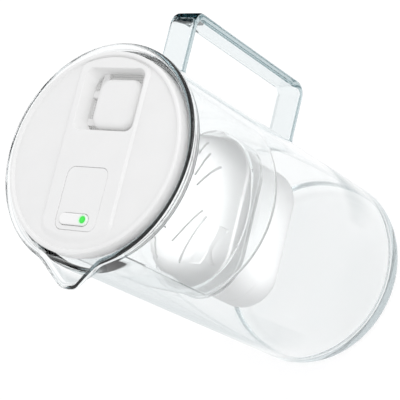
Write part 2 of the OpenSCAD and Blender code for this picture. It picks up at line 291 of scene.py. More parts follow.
# ---------------------------------------------------------------- material helpers
class Mat:
    """A node material with the few nodes that every surface here uses."""

    def __init__(self, name):
        self.m = bpy.data.materials.new(name)
        self.m.use_nodes = True
        self.nt = self.m.node_tree
        self.b = self.nt.nodes["Principled BSDF"]
        self.co = self.nt.nodes.new("ShaderNodeTexCoord").outputs["Object"]

    def node(self, kind, **values):
        n = self.nt.nodes.new(kind)
        for k, v in values.items():
            if hasattr(n, k):
                setattr(n, k, v)
            else:
                n.inputs[k].default_value = v
        return n

    def link(self, a, b):
        self.nt.links.new(a, b)

    def set(self, **values):
        names = {"base": "Base Color", "rough": "Roughness", "metal": "Metallic", "ior": "IOR",
                 "trans": "Transmission Weight", "coat": "Coat Weight", "coat_rough": "Coat Roughness",
                 "spec": "Specular IOR Level", "sss": "Subsurface Weight", "sss_scale": "Subsurface Scale",
                 "sss_radius": "Subsurface Radius", "glow": "Emission Color", "power": "Emission Strength",
                 "aniso": "Anisotropic"}
        for k, v in values.items():
            self.b.inputs[names[k]].default_value = v
        return self

    def noise(self, scale, detail=3.0, rough=0.5, stretch=None):
        n = self.node("ShaderNodeTexNoise")
        n.inputs["Scale"].default_value = scale
        n.inputs["Detail"].default_value = detail
        n.inputs["Roughness"].default_value = rough
        if stretch:
            mp = self.node("ShaderNodeMapping")
            mp.inputs["Scale"].default_value = stretch
            self.link(self.co, mp.inputs["Vector"])
            self.link(mp.outputs["Vector"], n.inputs["Vector"])
        else:
            self.link(self.co, n.inputs["Vector"])
        return n.outputs["Fac"]

    def ramp(self, fac, *stops):
        r = self.node("ShaderNodeValToRGB")
        els = r.color_ramp.elements
        while len(els) < len(stops):
            els.new(0.5)
        for e, (p, c) in zip(els, stops):
            e.position = p
            e.color = (*c, 1.0) if len(c) == 3 else c
        self.link(fac, r.inputs["Fac"])
        return r.outputs["Color"]

    def span(self, fac, lo, hi, a=0.3, b=0.7):
        r = self.node("ShaderNodeMapRange")
        for k, v in (("From Min", a), ("From Max", b), ("To Min", lo), ("To Max", hi)):
            r.inputs[k].default_value = v
        self.link(fac, r.inputs["Value"])
        return r.outputs["Result"]

    def colour(self, fac, c0, c1, p0=0.3, p1=0.7):
        self.link(self.ramp(fac, (p0, c0), (p1, c1)), self.b.inputs["Base Color"])
        return self

    def gloss(self, fac, lo, hi):
        self.link(self.span(fac, lo, hi), self.b.inputs["Roughness"])
        return self

    def bump(self, height, strength, distance):
        n = self.node("ShaderNodeBump")
        n.inputs["Strength"].default_value = strength
        n.inputs["Distance"].default_value = distance
        self.link(height, n.inputs["Height"])
        self.link(n.outputs["Normal"], self.b.inputs["Normal"])
        return self


def plastic(name, c0, c1, lo, hi, grain=2600, depth=0.05, flow=90):
    """Moulded plastic: faint flow marks in the colour, spark-eroded grain in the bump."""
    s = Mat(name)
    s.colour(s.noise(flow, 4, 0.55), c0, c1)
    s.gloss(s.noise(flow * 7, 3), lo, hi)
    s.bump(s.noise(grain, 2, 0.6), depth, 0.00006)
    s.set(spec=0.5)
    return s


def clear(name, ior, c0, c1, lo, hi, wave, strength, density, tint):
    """Clear material: faint waviness from drawing or moulding, and a light absorption that shows in thick edges."""
    s = Mat(name)
    s.colour(s.noise(40, 2), c0, c1)
    s.gloss(s.noise(160, 3), lo, hi)
    s.bump(s.noise(wave[0], 2, 0.4, wave[1]), strength, 0.0004)
    s.set(trans=1.0, ior=ior)
    v = s.node("ShaderNodeVolumeAbsorption")
    v.inputs["Color"].default_value = (*tint, 1.0)
    v.inputs["Density"].default_value = density
    s.link(v.outputs["Volume"], s.nt.nodes["Material Output"].inputs["Volume"])
    return s


glass = clear("clear_glass", 1.5, (0.985, 0.995, 0.995), (0.995, 1.0, 1.0), 0.0, 0.012,
              (30, (1.0, 1.0, 0.25)), 0.03, 5.0, (0.42, 0.55, 0.58)).m
strap_glass = clear("strap_glass", 1.5, (0.985, 0.995, 0.995), (0.995, 1.0, 1.0), 0.0, 0.012,
                    (30, (0.6, 1.0, 0.6)), 0.03, 44.0, (0.40, 0.55, 0.58)).m
clear_plastic = clear("clear_plastic", 1.5, (0.975, 0.985, 0.985), (0.99, 0.995, 0.995), 0.005, 0.03,
                      (60, (1.0, 1.0, 0.6)), 0.05, 3.0, (0.5, 0.56, 0.58)).m

lid_mat = plastic("lid_white", (0.81, 0.81, 0.805), (0.83, 0.83, 0.825), 0.42, 0.52, 3200, 0.06, 60)
lid_white = lid_mat.m
panel_mat = plastic("panel_white", (0.815, 0.815, 0.81), (0.83, 0.83, 0.825), 0.4, 0.5, 3400, 0.05, 75)
panel_white = panel_mat.m
cart_mat = plastic("cartridge_white", (0.92, 0.92, 0.92), (0.94, 0.94, 0.94), 0.4, 0.5, 2200, 0.06, 55)
cart_white = cart_mat.m

seal_mat = plastic("silicone", (0.80, 0.81, 0.81), (0.86, 0.87, 0.87), 0.55, 0.68, 1500, 0.08, 120)
seal_mat.set(sss=0.35, sss_scale=0.002, sss_radius=(1.0, 1.0, 1.0))
silicone = seal_mat.m

tray_mat = plastic("tray_white", (0.84, 0.84, 0.83), (0.87, 0.87, 0.86), 0.45, 0.56, 2400, 0.08, 70)
tray_white = tray_mat.m
rubber = plastic("dark_rubber", (0.035, 0.035, 0.037), (0.06, 0.06, 0.063), 0.72, 0.85, 1800, 0.15, 150).m
switch_black = plastic("switch_black", (0.02, 0.02, 0.022), (0.04, 0.04, 0.042), 0.5, 0.6, 2600, 0.08, 200).m
led_mat = plastic("led_body", (0.72, 0.86, 0.72), (0.8, 0.92, 0.8), 0.12, 0.2, 1600, 0.02, 300)
led_mat.set(trans=0.4, ior=1.5)
led_body = led_mat.m


def woven(name, c0, c1, pitch):
    """Fine square weave from two crossed sets of bands."""
    s = Mat(name)
    out = []
    for axis in ("X", "Y"):
        w = s.node("ShaderNodeTexWave", wave_type="BANDS", bands_direction=axis, wave_profile="SIN")
        w.inputs["Scale"].default_value = math.pi / (pitch * MM * 10) / math.pi
        w.inputs["Distortion"].default_value = 0.15
        s.link(s.co, w.inputs["Vector"])
        out.append(w.outputs["Fac"])
    mx = s.node("ShaderNodeMath", operation="MAXIMUM")
    s.link(out[0], mx.inputs[0])
    s.link(out[1], mx.inputs[1])
    s.colour(mx.outputs["Value"], c0, c1, 0.25, 0.8)
    s.gloss(s.noise(700), 0.6, 0.75)
    s.bump(mx.outputs["Value"], 0.7, 0.00025)
    return s.m


mesh_mat = woven("woven_mesh", (0.42, 0.42, 0.4), (0.86, 0.86, 0.84), 0.8)
screen_mat = woven("screen_mesh", (0.50, 0.50, 0.50), (0.80, 0.80, 0.79), 0.5)

g = Mat("media_granules")
vor = g.node("ShaderNodeTexVoronoi")
vor.inputs["Scale"].default_value = 900
g.link(g.co, vor.inputs["Vector"])
g.link(g.ramp(vor.outputs["Color"], (0.1, (0.02, 0.02, 0.02)), (0.55, (0.07, 0.065, 0.06)), (0.8, (0.32, 0.29, 0.24))),
       g.b.inputs["Base Color"])
g.gloss(g.noise(900), 0.6, 0.9)
g.bump(vor.outputs["Distance"], 0.9, 0.0006)
media_mat = g.m


def metal(name, c0, c1, lo, hi, stretch):
    s = Mat(name)
    s.colour(s.noise(120, 3), c0, c1)
    brushed = s.noise(2600, 2, 0.5, stretch)
    s.gloss(brushed, lo, hi)
    s.bump(brushed, 0.08, 0.00003)
    s.set(metal=1.0)
    return s.m


screw_steel = metal("screw_steel", (0.62, 0.62, 0.63), (0.72, 0.72, 0.73), 0.22, 0.34, (1, 1, 12))
cell_steel = metal("cell_steel", (0.66, 0.66, 0.65), (0.76, 0.76, 0.75), 0.24, 0.36, (1, 14, 1))
brass = metal("contact_brass", (0.72, 0.56, 0.28), (0.82, 0.66, 0.38), 0.22, 0.36, (10, 1, 1))

bd = Mat("board_mask")
track = bd.node("ShaderNodeTexBrick")
track.inputs["Scale"].default_value = 260
track.inputs["Color1"].default_value = (0.012, 0.12, 0.045, 1)
track.inputs["Color2"].default_value = (0.015, 0.15, 0.055, 1)
track.inputs["Mortar"].default_value = (0.03, 0.24, 0.1, 1)
track.inputs["Mortar Size"].default_value = 0.03
bd.link(bd.co, track.inputs["Vector"])
bd.link(track.outputs["Color"], bd.b.inputs["Base Color"])
bd.gloss(bd.noise(500), 0.28, 0.42)
bd.bump(track.outputs["Fac"], 0.2, 0.00008)
board_mat = bd.m

# button: white, with a painted green glow of the lamp round the window, put into its base colour
LAMP = (-39.8, -6.7)
bt = Mat("button_white")
dist = bt.node("ShaderNodeVectorMath", operation="DISTANCE")
flat = bt.node("ShaderNodeMapping")
flat.inputs["Scale"].default_value = (1, 1, 0)
bt.link(bt.co, flat.inputs["Vector"])
bt.link(flat.outputs["Vector"], dist.inputs[0])
dist.inputs[1].default_value = (LAMP[0] * MM, LAMP[1] * MM, 0)
# painted glow: the base colour turns green near the lamp window, standing in for the lamp's light falling on the button
lamp_glow_mask = bt.span(dist.outputs["Value"], 1.0, 0.0, 0.0016, 0.0034)
white = bt.ramp(bt.noise(75, 4, 0.55), (0.3, (0.87, 0.87, 0.865)), (0.7, (0.89, 0.89, 0.885)))
lamp_glow_mix = bt.node("ShaderNodeMix", data_type="RGBA")
bt.link(lamp_glow_mask, lamp_glow_mix.inputs["Factor"])
bt.link(white, lamp_glow_mix.inputs["A"])
lamp_glow_mix.inputs["B"].default_value = (0.50, 0.93, 0.55, 1)
bt.link(lamp_glow_mix.outputs["Result"], bt.b.inputs["Base Color"])
bt.gloss(bt.noise(500), 0.34, 0.44)
bt.bump(bt.noise(3200, 2, 0.6), 0.04, 0.00005)
button_white = bt.m

ln = Mat("lamp_green")
core = ln.node("ShaderNodeVectorMath", operation="DISTANCE")
lflat = ln.node("ShaderNodeMapping")
lflat.inputs["Scale"].default_value = (1, 1, 0)
ln.link(ln.co, lflat.inputs["Vector"])
ln.link(lflat.outputs["Vector"], core.inputs[0])
core.inputs[1].default_value = (LAMP[0] * MM, LAMP[1] * MM, 0)
glow = ln.ramp(ln.span(core.outputs["Value"], 0.0, 1.0, 0.0, 0.0021),
               (0.0, (0.035, 0.66, 0.05)), (0.55, (0.025, 0.60, 0.04)), (1.0, (0.03, 0.5, 0.05)))
ln.link(glow, ln.b.inputs["Emission Color"])
ln.colour(ln.noise(400), (0.02, 0.20, 0.03), (0.03, 0.24, 0.04))
ln.gloss(ln.noise(700), 0.15, 0.25)
ln.set(power=1.0)
lamp_green = ln.m


# ---------------------------------------------------------------- glass jug
def lip_push(theta, z):
    """How far the lip is drawn out towards -X at an angle from +X and a height."""
    off = math.pi - abs(theta)
    if off > math.radians(55) or z < 205:
        return 0.0
    y = RIM_R * math.sin(off)
    d = math.hypot(y, JUG_H - z)
    cone = 62 + 0.889 * (22.3 - d) - RIM_R * math.cos(off)
    tip = 77.05 - RIM_R * math.cos(off)
    k = 0.9
    low = -k * math.log(math.exp(-cone / k) + math.exp(-tip / k))
    e = 0.6 * math.log(1 + math.exp(low / 0.6))
    return e * smoothstep(205, 222, z) * (1 - smoothstep(math.radians(36), math.radians(55), off))


def jug_mesh():
    th = [0.0]
    while th[-1] < 179.99:
        a = th[-1]
        th.append(min(180.0, a + (0.9 if a < 16 else 2.0 if a < 140 else 0.7)))
    angles = [-a for a in th[:0:-1]] + th[:-1]
    angles = [math.radians(a) for a in angles]
    n = len(angles)
    foot = arc(JUG_R - 6.6, 6.6, 6.6, -90, 0, 14)
    outer = [(20.0, 0.0), (40.0, 0.0), (52.0, 0.0)] + foot
    z = 6.6
    while z < 237.9:
        step = 1.6 if 66 < z < 88 or 188 < z < 210 else 1.2 if z >= 212 else 6.0
        z = min(238.0, z + step)
        outer.append((JUG_R, z))
    for zz in (238.8, 239.4, 239.9):
        outer.append((JUG_R, zz))
    outer += [(JUG_R + 0.06, 240.3), (JUG_R + 0.22, 240.6), (JUG_R + 0.5, 240.85)]
    outer += arc(RIM_R - 1.5, 242.5, 1.5, -68, 0, 8)
    for zz in (243.0, 243.4):
        outer.append((RIM_R, zz))
    rim = arc(RIM_R - 1.7, JUG_H - 1.7, 1.7, 0, 180, 16)
    inner = []
    for zz in (243.0, 242.0, 240.8, 239.6, 238.4, 237.4):
        inner.append((MOUTH_R, zz))
    inner += arc(MOUTH_R - 0.5, Z_LEDGE + 0.5, 0.5, 0, -90, 5)
    inner += arc(JUG_IN + 0.5, Z_LEDGE - 0.5, 0.5, 90, 180, 5)
    z = Z_LEDGE - 0.5
    while z > 16.1:
        z = max(16.0, z - (1.2 if z > 206 else 7.0))
        inner.append((JUG_IN, z))
    inner += arc(JUG_IN - 9, 16, 9, 0, -90, 14)[1:]
    inner += [(44.0, 7.0), (24.0, 7.0)]
    ring = outer + rim + inner
    first_in = len(outer) + len(rim)
    verts = []
    for j, (r, z) in enumerate(ring):
        for t in angles:
            off = math.pi - abs(t)
            rr = r
            if j >= first_in - 4 and 222 < z < 243:
                w = 1 - smoothstep(math.radians(25), math.radians(31), off)
                even = lerp(JUG_IN, MOUTH_R, smoothstep(224, 242, z))
                rr = lerp(r, even, w)
            e = lip_push(t, z)
            x, y = rr * math.cos(t), rr * math.sin(t)
            verts.append((x - e, y, z - 0.40 * e))
    faces = []
    m = len(ring)
    for j in range(m - 1):
        for i in range(n):
            k = (i + 1) % n
            faces.append((j * n + i, j * n + k, (j + 1) * n + k, (j + 1) * n + i))
    a, b = len(verts), len(verts) + 1
    verts += [(0, 0, 0), (0, 0, BASE_T)]
    for i in range(n):
        k = (i + 1) % n
        faces.append((a, k, i))
        faces.append((b, (m - 1) * n + i, (m - 1) * n + k))
    return new_object("glass_jug", verts, faces)


def handle_mesh():
    """Strap swept along its bent line, flaring into the wall at both roots."""
    half_w, half_t, zt, zb, xg = 9.2, 2.5, 198.5, 76.5, 103.3
    path = []
    for x in (62.6, 63.3, 63.9, 64.4, 64.9, 65.5, 66.2, 67.0, 68.0, 69.2, 71, 74, 79, 86, 92):
        path.append((x, zt))
    path += arc(96.8, 192, 6.5, 90, 0, 12)
    z = 188.0
    while z > 87.5:
        path.append((xg, z))
        z -= 6.7
    path += arc(96.8, 83, 6.5, 0, -90, 12)
    for x in (92, 86, 79, 74, 71, 69.2, 68.0, 67.0, 66.2, 65.5, 64.9, 64.4, 63.9, 63.3, 62.6):
        path.append((x, zb))
    loops = []
    for i, (x, z) in enumerate(path):
        p, q = path[max(0, i - 1)], path[min(len(path) - 1, i + 1)]
        tx, tz = q[0] - p[0], q[1] - p[1]
        if i == 0:
            tx, tz = 1, 0
        if i == len(path) - 1:
            tx, tz = -1, 0
        ln_ = math.hypot(tx, tz)
        nx, nz = -tz / ln_, tx / ln_
        s = x - 64.0
        grow = 4.6 - math.sqrt(max(0.0, 4.6**2 - max(0.0, 4.6 - max(s, 0.0)) ** 2)) if s < 4.6 else 0.0
        a, b = half_w + 0.85 * grow, half_t + 0.75 * grow
        sec = rrect(-a, a, -b, b, min(2.1 + 0.5 * grow, b - 0.05), 7, 5)
        loops.append([(x + nx * v, u, z + nz * v) for u, v in sec])
    return new_object("glass_strap", *strips(loops, True, True))


jug = jug_mesh()
soften(jug, 40)
dress(jug, glass, "jug", "clear_glass", "glass_body")

strap = handle_mesh()
boolean(strap, revolve("wall_side", [(0, 40), (40, 40), (64.22, 40), (64.22, 90), (64.22, 140), (64.22, 190), (64.22, 230), (40, 230), (0, 230)], 720),
        "DIFFERENCE")
soften(strap, 40)
dress(strap, strap_glass, "jug", "clear_glass", "glass_handle")


# ---------------------------------------------------------------- hopper
def hopper_mesh():
    k = 0.62
    fall = math.degrees(math.atan(k))
    lean = math.degrees(math.atan((60.4 - 58.9) / (Z_FL - 150)))

    def corner(cx, cy, r, a0, a1, n):
        return arc(cx, cy, r, a0, a1, n)

    # outer corner, rounded between the cone and the wall
    ro = 4.0
    ox, oz = 58.9 - ro, 150 - k * 0 + ro * (1 / math.cos(math.radians(fall)) - math.tan(math.radians(fall)))
    outer = [(0, 150 - k * 58.9), (20, 150 - k * 38.9), (40, 150 - k * 18.9)]
    outer += corner(ox, oz, ro, -90 + fall, -lean, 10)
    outer += [(lerp(58.9, 60.4, t), lerp(150, Z_FL - 1.0, t)) for t in (0.15, 0.3, 0.45, 0.6, 0.75, 0.9)]
    outer += arc(60.4 + 0.8, Z_FL - 0.8, 0.8, 180, 90, 4)
    outer += [(61.9, Z_FL), (62.2, Z_FL + 0.3), (62.2, 239.5), (62.2, 240.6), (62.2, 241.4)]
    outer += arc(61.4, 241.4, 0.8, 0, 90, 6)
    outer += [(50, 242.2), (0, 242.2)]
    ri = 2.4
    base = 151.16
    ix, iz = 56.9 - ri, base + ri * (1 / math.cos(math.radians(fall)) - math.tan(math.radians(fall)))
    low = [(0, base - k * 56.9), (20, base - k * 36.9), (40, base - k * 16.9)]
    low += corner(ix, iz, ri, -90 + fall, -lean, 8)
    low += [(lerp(56.9, 58.4, t), lerp(base, Z_FT - 0.6, t)) for t in (0.15, 0.3, 0.45, 0.6, 0.75, 0.9, 1.0)]
    low += arc(59.0, Z_FT - 0.5, 0.6, 180, 95, 4)[1:]
    low += [(0, Z_FT - 0.5 + 0.6 * math.sin(math.radians(95)))]
    high = [(0, Z_FT), (50, Z_FT), (59.8, Z_FT), (60.2, Z_FT + 0.2), (60.4, Z_FT + 0.6), (60.4, 241.3),
            (60.5, 241.75), (60.75, 242.05), (61.1, 242.21), (61.1, 244), (0, 244)]
    shell = revolve("hopper_shell", outer)
    boolean(shell, block("c1", -120, -53, -90, 90, 60, 260), "DIFFERENCE")
    cav = revolve("cav", low)
    well = prism("well", stadium(51.4, 29.2), 126.4, 152)
    boolean(well, revolve("cav2", low), "DIFFERENCE")
    boolean(cav, block("c2", -120, -51.2, -90, 90, 60, 260), "DIFFERENCE")
    boolean(shell, cav, "DIFFERENCE")
    boolean(shell, revolve("cav3", high), "DIFFERENCE")
    boolean(shell, well, "UNION")
    seat = stadium(49.4, 27.2)
    boolean(shell, new_object("seat", *strips([lift(seat, 128.4), lift(seat, 139.0), lift(seat, 175)], True, True)),
            "DIFFERENCE")
    hole = stadium(46.2, 24.0)
    boolean(shell, prism("hole", hole, 90, 140), "DIFFERENCE")
    return shell


hopper = hopper_mesh()
soften(hopper, 32)
dress(hopper, clear_plastic, "hopper", "clear_plastic", "funnel")


# ---------------------------------------------------------------- cartridge
DOME = [(2.0, 140.0), (2.12, 142), (2.6, 146), (3.3, 150.5), (4.4, 154.5), (5.9, 158), (8.0, 160.8),
        (11.0, 163.0), (14.5, 164.05), (19.0, 164.4), (26.6, 164.5)]
HL, HW = 49.0, 26.8


def dome_z(d):
    return interp(DOME, d)


def cap_mesh():
    prof = [(3.2, 130.0), (1.0, 130.0), (0.5, 130.12), (0.15, 130.45), (0.0, 131.0), (0.0, 134), (0.0, 139.0),
            (0.1, 139.5), (0.35, 139.85), (0.75, 140.0), (1.4, 140.0), (1.75, 140.15), (1.95, 140.6)]
    d = 2.0
    zs = [141.2, 142, 143.5, 145, 147, 149, 151, 152.6, 154.2, 155.6, 157, 158.2, 159.3, 160.2]
    for z in zs:
        lo, hi = 2.0, 14.0
        for _ in range(40):
            mid = (lo + hi) / 2
            if dome_z(mid) < z:
                lo = mid
            else:
                hi = mid
        prof.append((lo, z))
    for d in (8.2, 9.0, 10.0, 11.0, 12.3, 13.6, 15.0, 17.0, 19.0, 22.0, 25.0, 26.5):
        prof.append((d, dome_z(d)))
    inn = []
    for dd, z in reversed(prof[12:]):
        if dd + 2.1 < 26.6:
            inn.append((dd + 2.1, z - 2.0 if z > 142.1 else z - 1.2))
    inn = inn + [(3.9, 139.2), (3.55, 138.0), (3.5, 134.0), (3.45, 131.0)]
    loops = [lift(stadium(HL - dd, HW - dd), z) for dd, z in prof]
    loops_in = [lift(stadium(HL - dd, HW - dd), z) for dd, z in inn]
    v1, f1 = strips(loops, False, True)
    v2, f2 = strips(loops_in, True, False)
    n = len(loops[0])
    verts = v1 + v2
    b = len(v1)
    faces = list(f1) + [tuple(b + i for i in t) for t in f2]
    last = b + (len(loops_in) - 1) * n
    for i in range(n):
        k = (i + 1) % n
        faces.append((last + i, last + k, k, i))
    cap = new_object("cartridge_dome", verts, faces)
    # inlet slits, like the veins of a leaf, on both halves
    veins = [((-5.6, -16.1), (-25.6, -1.2), 1.0), ((-8.6, -18.5), (-37.0, -8.6), 1.0),
             ((-11.7, -23.8), (-33.0, -21.0), 1.0), ((22.2, -19.4), (9.8, -9.3), 1.0), ((29.1, -12.6), (16.0, -5.8), 1.0),
             ((36.5, -8.5), (24.0, -2.2), 1.0)]
    for (ax, ay), (bx, by), w in veins:
        for s in (1, -1):
            if s < 0 and by > -1.5:
                bx, by = lerp(ax, bx, 0.62), lerp(ay, by, 0.62)
            dx, dy = bx - ax, s * (by - ay)
            ln_ = math.hypot(dx, dy)
            ux, uy = dx / ln_, dy / ln_
            h = w * 0.72
            loop = []
            for i in range(9):
                t = math.radians(90 + 22.5 * i)
                c, sn = math.cos(t) * h, math.sin(t) * h
                loop.append((ax + ux * c - uy * sn, s * ay + uy * c + ux * sn))
            for i in range(9):
                t = math.radians(-90 + 22.5 * i)
                c, sn = math.cos(t) * h, math.sin(t) * h
                loop.append((bx + ux * c - uy * sn, s * by + uy * c + ux * sn))
            boolean(cap, prism("vein", loop, 143.5, 170), "DIFFERENCE")
    for s in (1, -1):
        quad = [Vector((-11.0, s * -19.1, 160.2)), Vector((-36.4, s * -13.1, 160.0)),
                Vector((-35.4, s * -17.9, 154.7)), Vector((-11.9, s * -23.1, 151.9))]
        nrm = (quad[1] - quad[0]).cross(quad[3] - quad[0]).normalized()
        if nrm.z < 0:
            nrm = -nrm
        nu, nv = 16, 10
        low_, high_ = [], []
        for j in range(nv + 1):
            for i in range(nu + 1):
                u, v = i / nu, j / nv
                q = (quad[0].lerp(quad[1], u)).lerp(quad[3].lerp(quad[2], u), v)
                t = 0.0
                while t < 6:
                    c = q + t * nrm
                    wide = abs(c.x) - (HL - HW)
                    d = HW - (abs(c.y) if wide < 0 else math.hypot(wide, c.y))
                    if d < 2.0 or dome_z(d) <= c.z:
                        break
                    t += 0.02
                low_.append(tuple(q + (t - min(0.95, t + 0.2)) * nrm))
                high_.append(tuple(q + (t + 4) * nrm))
        row = nu + 1
        fs = []
        for j in range(nv):
            for i in range(nu):
                a = j * row + i
                fs.append((a, a + 1, a + row + 1, a + row))
        top_ = len(low_)
        fs += [tuple(top_ + i for i in f) for f in fs]
        edge = [i for i in range(row)] + [j * row + nu for j in range(1, nv + 1)]
        edge += [nv * row + i for i in range(nu - 1, -1, -1)] + [j * row for j in range(nv - 1, 0, -1)]
        for i, a in enumerate(edge):
            b = edge[(i + 1) % len(edge)]
            fs.append((a, b, top_ + b, top_ + a))
        boolean(cap, new_object("facet", low_ + high_, fs), "DIFFERENCE")
    return cap


cap = cap_mesh()
soften(cap, 38)
dress(cap, cart_white, "cartridge", "cartridge_white", "cartridge_cap")


def canister_mesh():
    l, w = 45.55, 23.35
    prof = [(18.0, 76.0), (12.0, 76.0), (7.0, 76.0)]
    prof += [(6.5 - 6.5 * math.sin(math.radians(a)), 82.5 - 6.5 * math.cos(math.radians(a))) for a in range(0, 91, 9)]
    prof += [(0.0, z) for z in (90, 97, 97.6)] + [(0.35, 98.2), (0.35, 99.2), (0.0, 99.8)]
    prof += [(0.0, z) for z in (106, 112, 118, 124, 130, 138.6)] + [(0.2, 139.0), (1.4, 139.0)]
    prof += [(1.6, z) for z in (138.4, 130, 110, 90, 84)] + [(2.1, 80.4), (3.4, 78.4), (5.4, 77.7), (12.0, 77.6), (18.0, 77.6)]
    loops = [lift(stadium(l - d, w - d), z) for d, z in prof]
    body = new_object("cartridge_canister", *strips(loops, True, True))
    for i in range(9):
        x = -30 + 7.5 * i
        slot_ = rrect(x - 1.5, x + 1.5, -11, 11, 1.4, 6, 0)
        boolean(body, prism("slot", slot_, 70, 79.5), "DIFFERENCE")
    return body


canister = canister_mesh()
soften(canister, 38)
dress(canister, cart_white, "cartridge", "cartridge_white", "cartridge_body")


# ---------------------------------------------------------------- lid
WELL_TOP = (12.3, 49.2, -24.1, 18.7)
WELL_LOW = (12.8, 48.5, -22.8, 15.6)


def well_loop(t, grow=0.0):
    """Outline of the refill opening: t 0 at the top, 1 at the foot."""
    x0, x1, y0, y1 = (lerp(a, b, t) for a, b in zip(WELL_TOP, WELL_LOW))
    return rrect(x0 - grow, x1 + grow, y0 - grow, y1 + grow, 5 + grow + 3.5 * t)


def lid_mesh():
    edge = [(59.6, 246.4), (59.6, 247.2), (59.52, 247.9), (59.32, 248.38), (59.0, 248.72), (58.6, 248.93), (58.2, 249.0),
            (57.7, 249.0), (57.4, 248.93), (57.15, 248.7), (56.96, 248.35), (56.8, 248.0), (56.64, 247.7),
            (56.44, 247.5), (56.2, 247.4)]
    top = [(circle(r), z) for r, z in edge]
    for i in range(13):
        t = i / 12
        e = 1 - 2 * t
        top.append((band_outline(55.75 + 0.2 * e, 51.3 + 2.3 * e, 23.8 + 1.7 * e, 25.95 + 0.75 * e, 5 + 0.4 * e,
                                 9.5 + 1.5 * e, 6.5 + 1.0 * e), Z_LID + 1.6 * smoothstep(0, 1, t)))
    for grow, z in ((0.7, Z_BAND), (0.45, Z_BAND - 0.04), (0.25, Z_BAND - 0.14), (0.1, Z_BAND - 0.3), (0.0, Z_BAND - 0.55)):
        top.append((well_loop(0.0, grow), z))
    for t in (0.15, 0.3, 0.45, 0.6, 0.75, 0.9, 1.0):
        top.append((well_loop(t), lerp(Z_BAND - 0.55, Z_REF, t)))
    px0, px1, ph, pr = -46.15, -9.35, 14.85, 5.15

    def place(g_, r):
        return rrect(px0 - g_, px1 + g_, SIDE - ph - g_, SIDE + ph + g_, r)

    for g_, z in ((0.4, Z_BAND), (0.2, Z_BAND - 0.05), (0.06, Z_BAND - 0.18), (0.0, Z_BAND - 0.4), (-0.04, Z_PAN - 1.7)):
        top.append((place(g_, pr + g_), z))
    win = place(-1.85, 3.3)
    top.append((win, Z_PAN - 1.7))
    face = sheet_of(top, circle(LID_R + 0.01), [well_loop(1.0), win])
    skirt = [(LID_R, 246.4), (LID_R, 244.0), (LID_R, 241.0), (LID_R - 0.15, 240.6), (LID_R - 0.5, Z_SKIRT),
             (57.5, Z_SKIRT), (57.2, 240.5), (57.1, 240.8), (57.1, 243.6), (56.95, 244.3), (56.6, 244.75), (56.1, Z_UNDER)]
    ring = strips([lift(circle(r), z) for r, z in skirt])
    boss = rrect(10.3, 51.5, -26.1, 20.7, 6)
    under = sheet_of([(circle(56.1), Z_UNDER), (boss, Z_UNDER), (win, Z_UNDER)], circle(56.12), [boss, win])
    wall = strips([lift(boss, Z_UNDER), lift(boss, Z_REF)])
    sole = sheet_of([(boss, Z_REF), (well_loop(1.0), Z_REF)], boss, [well_loop(1.0)])
    frame_ = strips([lift(win, Z_PAN - 1.7), lift(win, Z_UNDER)])
    return new_object("lid_moulding", *joined(face, ring, under, wall, sole, frame_))


lid = lid_mesh()
soften(lid, 40)
dress(lid, lid_white, "lid", "lid_white", "lid_shell")


def grille_mesh():
    def plate_loop(g_):
        return rrect(14.2 + g_, 44.2 - g_, -20.6 + g_, 9.4 - g_, 8 - g_, 12, 4)

    prof = [(1.8, 239.8), (0.25, 239.8), (0.0, 240.05), (0.0, 242.0), (0.0, 243.2), (0.1, 243.9), (0.32, 244.55), (0.7, 245.2),
            (1.25, 245.75), (1.95, 246.15), (2.8, 246.4), (3.8, 246.5), (5.0, 246.5)]
    hollow = [(5.0, 244.7), (2.6, 244.7), (2.0, 244.3), (1.8, 243.6)]
    loops = [lift(plate_loop(d), z) for d, z in prof]
    inn = [lift(plate_loop(d), z) for d, z in hollow]
    v1, f1 = strips(loops, False, True)
    v2, f2 = strips(inn, True, False)
    n = len(loops[0])
    b = len(v1)
    verts = v1 + v2
    faces = list(f1) + [tuple(b + i for i in t) for t in f2]
    last = b + (len(inn) - 1) * n
    for i in range(n):
        k = (i + 1) % n
        faces.append((last + i, last + k, k, i))
    plate = new_object("refill_plate", verts, faces)
    outer = rrect(10.9, 51.0, -25.4, 20.0, 6)
    inner = rrect(13.0, 48.3, -22.6, 15.4, 8.5)
    ring = new_object("ring", *strips([lift(outer, 239.8), lift(outer, 241.75), lift(inner, 241.75), lift(inner, 239.8), lift(outer, 239.8)]))
    boolean(plate, ring, "UNION")

    def bar(x0, x1, y0, y1):
        c = 0.35
        lp = rrect(x0, x1, y0, y1, 0.3, 3, 0)
        if x1 - x0 > y1 - y0:
            ins = rrect(x0, x1, y0 + c, y1 - c, 0.3, 3, 0)
        else:
            ins = rrect(x0 + c, x1 - c, y0, y1, 0.3, 3, 0)
        return new_object("bar", *strips([lift(lp, 239.82), lift(lp, 241.25), lift(ins, 241.6)], True, True))

    for x in (19.0, 35.7):
        boolean(plate, bar(x - 2.1, x + 2.1, 8.4, 16.4), "UNION")
        boolean(plate, bar(x - 2.1, x + 2.1, -23.6, -19.6), "UNION")
    for y, w in ((9.6, 2.3), (-18.6, 1.6)):
        boolean(plate, bar(40.0, 49.2, y - w, y + w), "UNION")
    return plate


grille = grille_mesh()
soften(grille, 38)
dress(grille, lid_white, "lid", "lid_white", "refill_grille")


# ---------------------------------------------------------------- indicator
def pill_loop(d, k=12):
    return [(-39.8 - y, 1.45 + SIDE + x) for x, y in stadium(10.15 + d, 3.3 + d, k, 6)]


